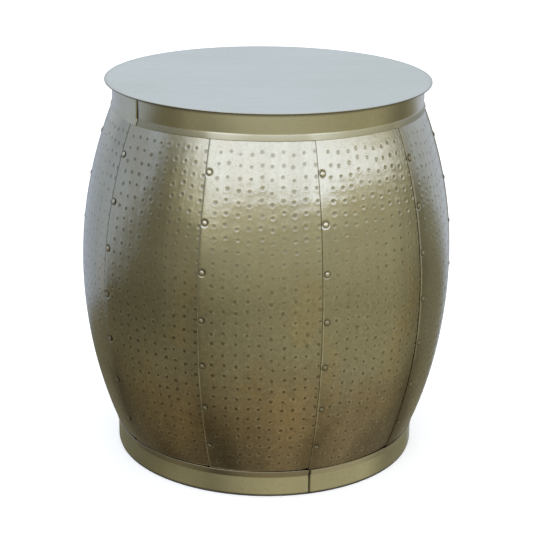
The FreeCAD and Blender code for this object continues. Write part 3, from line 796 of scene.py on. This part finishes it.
def roundCorners(corners, pieces=5):
    # corners are (across, up, radius); gives the outline with arcs in place of its corners
    outline = []
    for index, (across, up, radius) in enumerate(corners):
        here = Vector((across, up))
        back = (Vector(corners[index - 1][:2]) - here).normalized()
        ahead = (Vector(corners[(index + 1) % len(corners)][:2]) - here).normalized()
        half = back.angle(ahead) / 2
        if radius < 0.01:
            outline.append((here.x, here.y))
            continue
        centre = here + (back + ahead).normalized() * (radius / math.sin(half))
        start = here + back * (radius / math.tan(half)) - centre
        end = here + ahead * (radius / math.tan(half)) - centre
        sweep = start.angle_signed(end)
        for step in range(pieces + 1):
            turn = -sweep * step / pieces
            point = centre + Vector((start.x * math.cos(turn) - start.y * math.sin(turn),
                start.x * math.sin(turn) + start.y * math.cos(turn)))
            outline.append((point.x, point.y))
    return outline


def squareOutline(inner, outer, low, high, lowRound, highRound, pieces):
    return roundCorners([(inner, low, lowRound), (outer, low, lowRound), (outer, high, highRound),
        (inner, high, highRound)], pieces)


def lathe(name, outline, finish, first=0.0, sweep=360.0, segments=240, shift=None):
    # turns a closed outline about Z; an open sweep gets flat ends
    whole = sweep > 359.99
    rings = segments if whole else segments + 1
    size = len(outline)
    run = [0.0]
    for here, after in zip(outline, outline[1:]):
        run.append(run[-1] + (Vector(after) - Vector(here)).length)
    points, faces, strip = [], [], []
    for ring in range(rings):
        degrees = sweep * ring / segments
        angle = math.radians(first + degrees)
        toEnd = 90.0 if whole else min(degrees, sweep - degrees)
        for place, (across, up) in enumerate(outline):
            out, lift = shift(degrees, up) if shift else (0.0, 0.0)
            reach = across + out
            points.append((reach * math.cos(angle), reach * math.sin(angle), up + lift))
            strip += (math.radians(degrees) * across * mm, run[place] * mm, math.radians(toEnd) * across * mm)
    for ring in range(segments):
        here, after = ring * size, ((ring + 1) % rings) * size
        for place in range(size):
            beside = (place + 1) % size
            faces.append((here + place, after + place, after + beside, here + beside))
    if not whole:
        faces.append(tuple(range(size)))
        faces.append(tuple(reversed(range(segments * size, segments * size + size))))
    piece = newPiece(name, points, faces, finish)
    stripPlace = piece.data.attributes.new("stripPlace", "FLOAT_VECTOR", "POINT")
    stripPlace.data.foreach_set("vector", strip)
    return piece


def settle(piece, node):
    # faces turned outwards, then dressed over its solid
    work = bmesh.new()
    work.from_mesh(piece.data)
    bmesh.ops.recalc_face_normals(work, faces=work.faces)
    work.to_mesh(piece.data)
    work.free()
    dress(piece, node)


collars = {
    "radius": 184.2,
    "sheet": 1.2,
    "flangeRadius": 174.2,
    "height": 31.0,
    "lipHeight": 7.5,
    "lipReach": 185.7465,
    "cornerRound": 2.0,
    "lipBend": 4.0,
    "slit": 0.4,
    "upperSeam": -142.0,
    "baseSeam": -73.2,
    "wave": 0.18,
    "endLift": 0.25,            # by which one end of a strip stands proud of the other
    "wider": 1.6,               # the upper strip is this much wider next to its seam
    "hug": 0.95,                # how far the lip is pressed down between the seams
    "seamShift": 1.6,           # degrees from a rivet line to the edge that laps over
    "segments": 300,
}


def collarOutline(level, sign):
    size = collars
    reach, sheet, height, bend = size["lipReach"], size["sheet"], size["height"], size["lipBend"]
    inner = size["radius"] - sheet
    lean = math.atan2(reach - inner, size["lipHeight"])
    start = height - size["lipHeight"]
    edge = sheet * 0.3
    outline = roundCorners([
        (size["flangeRadius"], 0.0, edge),
        (size["radius"], 0.0, size["cornerRound"]),
        (size["radius"], start - sheet * math.tan(lean / 2), bend),
        (reach + sheet * math.cos(lean), height - sheet * math.sin(lean), edge),
        (reach, height, edge),
        (inner, start, bend + sheet),
        (inner, sheet, size["cornerRound"] - sheet),
        (size["flangeRadius"], sheet, edge),
    ])
    return [(across, level + sign * up) for across, up in outline]


def smooth(value):
    value = min(1.0, max(0.0, value))
    return value * value * (3 - 2 * value)


def makeCollar(name, node, level, sign, seam, lift, wider, phase):
    # lift is for the first and the last end of the strip
    sweep = 360.0 - math.degrees(collars["slit"] / collars["radius"])
    pitch = 2 * drum["halfPitch"]

    def shift(degrees, up):
        # hand-rolled strip: slow waves, dying out at the flange, and one end that stands proud of the other
        turn = math.radians(degrees)
        rise = abs(up - level)
        free = min(1.0, rise / 14.0)
        wave = math.sin(3 * turn + phase) + 0.6 * math.sin(7 * turn + 2.1 * phase)
        wave += 0.35 * math.sin(16 * turn + phase * 3.3)
        fromEnds = (degrees, sweep - degrees)
        ends = sum(math.exp(-away / 1.6) * amount for away, amount in zip(fromEnds, lift))
        wide = wider * sum(math.exp(-((away / 22.0) ** 2)) for away in fromEnds)
        # the lip is tapped down onto each sheet and rises again where the next one laps over it
        share = ((seam + degrees - drum["firstSeam"] + collars["seamShift"]) % pitch) / pitch
        pressed = smooth(share / 0.45) * (1 - smooth((share - 0.93) / 0.07)) * collars["hug"]
        onLip = max(0.0, rise - collars["height"] + collars["lipHeight"]) / collars["lipHeight"]
        out = (wave * collars["wave"] * 0.3 + ends) * free - pressed * min(1.0, onLip)
        return out, sign * wide * free

    piece = lathe(name, collarOutline(level, sign), collarBrass, seam, sweep, collars["segments"], shift)
    settle(piece, node)


topDisc = {
    "radius": 193.0,
    "thickness": 1.5,
    "underside": 455.5,
    "edge": 0.55,
    "wave": 0.10,
    "rings": [188.0, 181.0, 172.0, 160.0, 146.0, 130.0, 112.0, 92.0, 70.0, 46.0, 22.0],
    "segments": 288,
}


def makeTop():
    low, radius, edge, rings = (topDisc[name] for name in ("underside", "radius", "edge", "rings"))
    high = low + topDisc["thickness"]
    rim = roundCorners([(150.0, low, 0.0), (radius, low, edge), (radius, high, edge), (150.0, high, 0.0)], 4)
    outline = [(reach, low) for reach in reversed(rings)] + rim[1:-1] + [(reach, high) for reach in rings]
    segments, size = topDisc["segments"], len(outline)
    points, faces = [], []
    for ring in range(segments):
        angle = 2 * math.pi * ring / segments
        here, after = ring * size, ((ring + 1) % segments) * size
        for across, up in outline:
            # the sheet is a little uneven; the rim never rises above the highest point of the table
            x, y = across * math.cos(angle), across * math.sin(angle)
            wave = math.sin(x * 0.021 + 1.0) * math.sin(y * 0.017 + 0.4)
            wave += 0.5 * math.sin(x * 0.043 - y * 0.031)
            sag = (wave - 1.5) * topDisc["wave"] * 0.5 if up > high - 0.3 else 0.0
            points.append((x, y, up + sag))
        for place in range(size - 1):
            faces.append((here + place, after + place, after + place + 1, here + place + 1))
        faces.append((after, here, segments * size))
        faces.append((here + size - 1, after + size - 1, segments * size + 1))
    points += [(0.0, 0.0, low), (0.0, 0.0, high - topDisc["wave"] * 0.75)]
    settle(newPiece("brushedTop", points, faces, topBrass), "top_disc")


bars = {
    "hoopOuter": 180.686,
    "hoopInner": 177.686,
    "hoopWidth": 20.0,
    "upperHoop": 434.3,         # underside of each hoop
    "lowerHoop": 2.7,
    "braceThickness": 4.0,
    "braceDepth": 20.0,
    "braceReach": 177.625,
    "braceShoulder": 173.9,     # the ends are cut down past here, under the collar's flange
    "braceShelf": 454.3,
    "slot": 2.05,
    "edge": 0.5,
}


def makeHoop(name, node, bottom):
    edge, top = bars["edge"], bottom + bars["hoopWidth"]
    outline = squareOutline(bars["hoopInner"], bars["hoopOuter"], bottom, top, edge, edge, 3)
    settle(lathe(name, outline, hoopLacquer, 40.0), node)


def makeBrace(name, node, crosswise):
    # the two bars are halved over each other at the middle
    top, shelf, reach = topDisc["underside"], bars["braceShelf"], bars["braceReach"]
    bottom, waist = top - bars["braceDepth"], top - bars["braceDepth"] / 2
    shoulder, slot, half = bars["braceShoulder"], bars["slot"], bars["braceThickness"] / 2
    outline = [(-reach, bottom)]
    if crosswise:
        outline += [(-slot, bottom), (-slot, waist), (slot, waist), (slot, bottom)]
    outline += [(reach, bottom), (reach, shelf), (shoulder, shelf), (shoulder, top)]
    if not crosswise:
        outline += [(slot, top), (slot, waist), (-slot, waist), (-slot, top)]
    outline += [(-shoulder, top), (-shoulder, shelf), (-reach, shelf)]
    size = len(outline)
    points = []
    for side in (-half, half):
        points += [(along, side, up) if crosswise else (side, along, up) for along, up in outline]
    faces = [tuple(range(size)), tuple(reversed(range(size, 2 * size)))]
    faces += [(place, size + place, size + (place + 1) % size, (place + 1) % size) for place in range(size)]
    piece = newPiece(name, points, faces, hoopLacquer, smooth=False)
    settle(piece, node)
    bevel = piece.modifiers.new("edges", "BEVEL")
    bevel.width = bars["edge"] * mm
    bevel.segments = 2


footRing = {
    "inner": 175.2,
    "outer": 183.2,
    "height": 1.5,
    "lowRound": 0.3,
    "highRound": 0.2,
}


def makeFootRing():
    inner, outer, height, lowRound, highRound = footRing.values()
    outline = squareOutline(inner, outer, 0.0, height, lowRound, highRound, 2)
    settle(lathe("rubberFootRing", outline, footRubber), "rubber_foot_ring")


lifted = collars["endLift"]
makeCollar("rolledUpperCollar", "upper_collar", topDisc["underside"], -1, collars["upperSeam"], (0.0, lifted),
    collars["wider"], 1.0)
makeCollar("rolledBaseRing", "base_ring", footRing["height"], 1, collars["baseSeam"], (lifted, 0.0), 0.0, 4.0)
makeTop()
makeHoop("rolledUpperHoop", "upper_hoop", bars["upperHoop"])
makeHoop("rolledLowerHoop", "lower_hoop", bars["lowerHoop"])
makeBrace("crosswiseBar", "top_brace_crosswise", True)
makeBrace("lengthwiseBar", "top_brace_lengthwise", False)
makeFootRing()
print("collars, top, bars and foot made")


# Camera, floor and light.

view = {
    "distance": 1.866,
    "elevation": 18.864,
    "target": (0.0004, 0.0, 0.2200),
    "roll": 0.67,
    "lens": 102.4,
}


def makeCamera():
    data = bpy.data.cameras.new("camera")
    data.lens = view["lens"]
    data.sensor_width = 36.0
    data.clip_end = 50.0
    camera = newObject("camera", data)
    tilt = math.radians(view["elevation"])
    back = Vector((0.0, -math.cos(tilt), math.sin(tilt)))
    camera.matrix_world = (
        Matrix.Translation(Vector(view["target"]) + back * view["distance"])
        @ Matrix.Rotation(math.radians(90 - view["elevation"]), 4, "X")
        @ Matrix.Rotation(math.radians(view["roll"]), 4, "Z"))
    bpy.context.scene.camera = camera


floorLook = {
    "reach": 12000.0,
    "dark": (0.84, 0.84, 0.84),
    "light": (0.88, 0.88, 0.88),
    "glow": 0.45,
}


def makeFloor():
    material, tree, shader = newMaterial("paleFloor", Roughness=0.9, Emission_Color=(1.0, 1.0, 1.0, 1.0),
        Emission_Strength=floorLook["glow"])
    cloud = addNode(tree, "ShaderNodeTexCoord", out="Object").noise(1.4)
    plug(shader.inputs["Base Color"], cloud.blend(floorLook["dark"], floorLook["light"]))
    reach = floorLook["reach"]
    corners = [(-reach, -reach, 0), (reach, -reach, 0), (reach, reach, 0), (-reach, reach, 0)]
    floor = newPiece("floor", corners, [(0, 1, 2, 3)], material, smooth=False)
    floor.visible_glossy = False


studio = {
    "upperFront": (1.42, 1.52, 1.75),
    "aboveFront": (0.74, 0.73, 0.54),
    "frontWarm": (0.49, 0.475, 0.33),
    "lowWarm": (0.47, 0.405, 0.265),
    "lowGrey": (0.44, 0.405, 0.31),
    "underneath": (0.37, 0.335, 0.245),
    "darkStand": (0.16, 0.15, 0.10),
    "sides": (0.475, 0.54, 0.66),
    "sidesHigh": (0.58, 0.655, 0.79),
    "rightSide": (0.565, 0.62, 0.72),
    "rightHigh": (0.49, 0.53, 0.60),
    "behind": (0.76, 0.83, 0.95),
    "rearScreen": (0.74, 0.84, 0.95),
    "rearHigh": (0.94, 1.06, 1.21),
    "overhead": (0.80, 0.84, 0.92),
    "unlit": (0.0, 0.0, 0.0),
}


def makeStudio():
    # soft surround: a white screen above the front, pale cool walls at the sides and behind, warm below
    world = bpy.data.worlds.new("studio")
    bpy.context.scene.world = world
    world.use_nodes = True
    tree = world.node_tree
    tree.nodes.clear()
    x, y, z = addNode(tree, "ShaderNodeTexCoord", out="Generated").parts()
    turn = x.sum("ARCTAN2", y * -1) * degreesPerRadian      # 0 at the front and growing to the right
    rise = z.sum("ARCSINE") * degreesPerRadian
    rear = turn.size().ramp(160.0, 172.0)
    onRight = turn.ramp(-1.0, 1.0)
    # dim and warm below, shaded towards both sides
    toGrey = turn.ramp(10.0, 70.0).most(turn.ramp(-105.0, -130.0))
    low = toGrey.blend(studio["lowWarm"], studio["lowGrey"])
    low = rise.ramp(-64.0, -50.0).blend(studio["underneath"], low)
    colour = rise.ramp(-48.0, -28.0).blend(low, studio["frontWarm"])
    pastRight = turn.ramp(84.0, 114.0)
    shade = 1 - turn.ramp(-8.0, -48.0) * 0.36 - turn.ramp(-80.0, -115.0) * 0.25 - pastRight * 0.45
    shade = shade - rise.ramp(-6.0, -20.0) * turn.ramp(18.0, -20.0) * turn.ramp(-74.0, -36.0) * 0.22
    shade = shade - rise.ramp(-42.0, -56.0) * turn.ramp(10.0, -40.0) * 0.16
    shade = shade - turn.near(103.0, 22.0, 8.0) * rise.ramp(3.0, -4.0) * rise.ramp(-34.0, -14.0) * 0.15
    # the screen above the front, with a warm band under it, and a dark stand to its left
    beside = turn.near(-29.0, 18.0, 2.0)
    band = (rise + beside * 4.0).ramp(0.0, 10.0) * (1 - pastRight) * turn.ramp(-66.0, -41.0)
    lower = rise + (turn - 66.0).within(0.0, 20.0) * 0.24 + beside * 2.5 + turn.near(20.0, 10.0, 0.0) * 1.5
    screen = lower.ramp(9.5, 13.5) * (turn + (rise - 14.0) * 1.45).ramp(-66.0, -16.0)
    screen = screen * (turn + (rise - 12.0).most(0.0) * 2.4).ramp(109.0, 83.0)
    stand = (turn + rise.within(0.0, 20.0) * 0.45).near(-84.0, 30.0, 13.0)
    stand = stand * rise.ramp(-38.0, -22.0) * rise.ramp(27.0, 10.0)
    # pale walls at the sides and a paler one behind
    leftWall = (rise - (turn + 89.0) * 0.95).ramp(-14.0, 6.0)
    leftWall = leftWall * (rise - (turn + 125.0) * 0.2).ramp(-25.5, -17.0) * rise.ramp(-24.0, -20.0)
    leftWall = leftWall * turn.ramp(-66.0, -84.0) * (1 - rear)
    rightWall = turn.ramp(97.0, 121.0) * (rise + (turn - 118.0) * 0.54).ramp(-7.0, 4.0) * (1 - rear)
    left = rise.ramp(8.0, 27.0).blend(studio["sides"], studio["sidesHigh"])
    right = rise.ramp(8.0, 24.0).blend(studio["rightSide"], studio["rightHigh"])
    far = turn.size().ramp(126.0, 150.0).most(turn.ramp(-98.0, -128.0) * rise.ramp(16.0, 30.0))
    toBehind = (rise - onRight * 3.5).ramp(-8.0, 5.0) * far
    walls = toBehind.blend(onRight.blend(left, right), studio["behind"])
    rearScreen = rise.ramp(12.0, 19.0).blend(studio["rearScreen"], studio["rearHigh"])
    colour = layColours(colour, (1 - shade, studio["unlit"]), (band, studio["aboveFront"]),
        (screen, studio["upperFront"]), (stand * 0.8, studio["darkStand"]), (leftWall.most(rightWall), walls),
        (rear * rise.ramp(0.0, 8.0), rearScreen), (rise.ramp(38.0, 55.0), studio["overhead"]))
    background = addNode(tree, "ShaderNodeBackground", {"Color": colour})
    addNode(tree, "ShaderNodeOutputWorld", {"Surface": background}, None)


light = {
    "place": (0.0, 0.0, 2.8),
    "target": (0.0, 0.0, 0.3),
    "size": 1.6,
    "power": 12.0,
}


def makeLight():
    data = bpy.data.lights.new("overheadSoftbox", "AREA")
    data.shape = "RECTANGLE"
    data.size = data.size_y = light["size"]
    data.energy = light["power"]
    lamp = newObject("overheadSoftbox", data)
    place = Vector(light["place"])
    aim = (Vector(light["target"]) - place).to_track_quat("-Z", "Y")
    lamp.matrix_world = Matrix.Translation(place) @ aim.to_matrix().to_4x4()


makeCamera()
makeFloor()
makeStudio()
makeLight()
bpy.context.scene.view_settings.view_transform = "Standard"
print("camera, floor and light made")
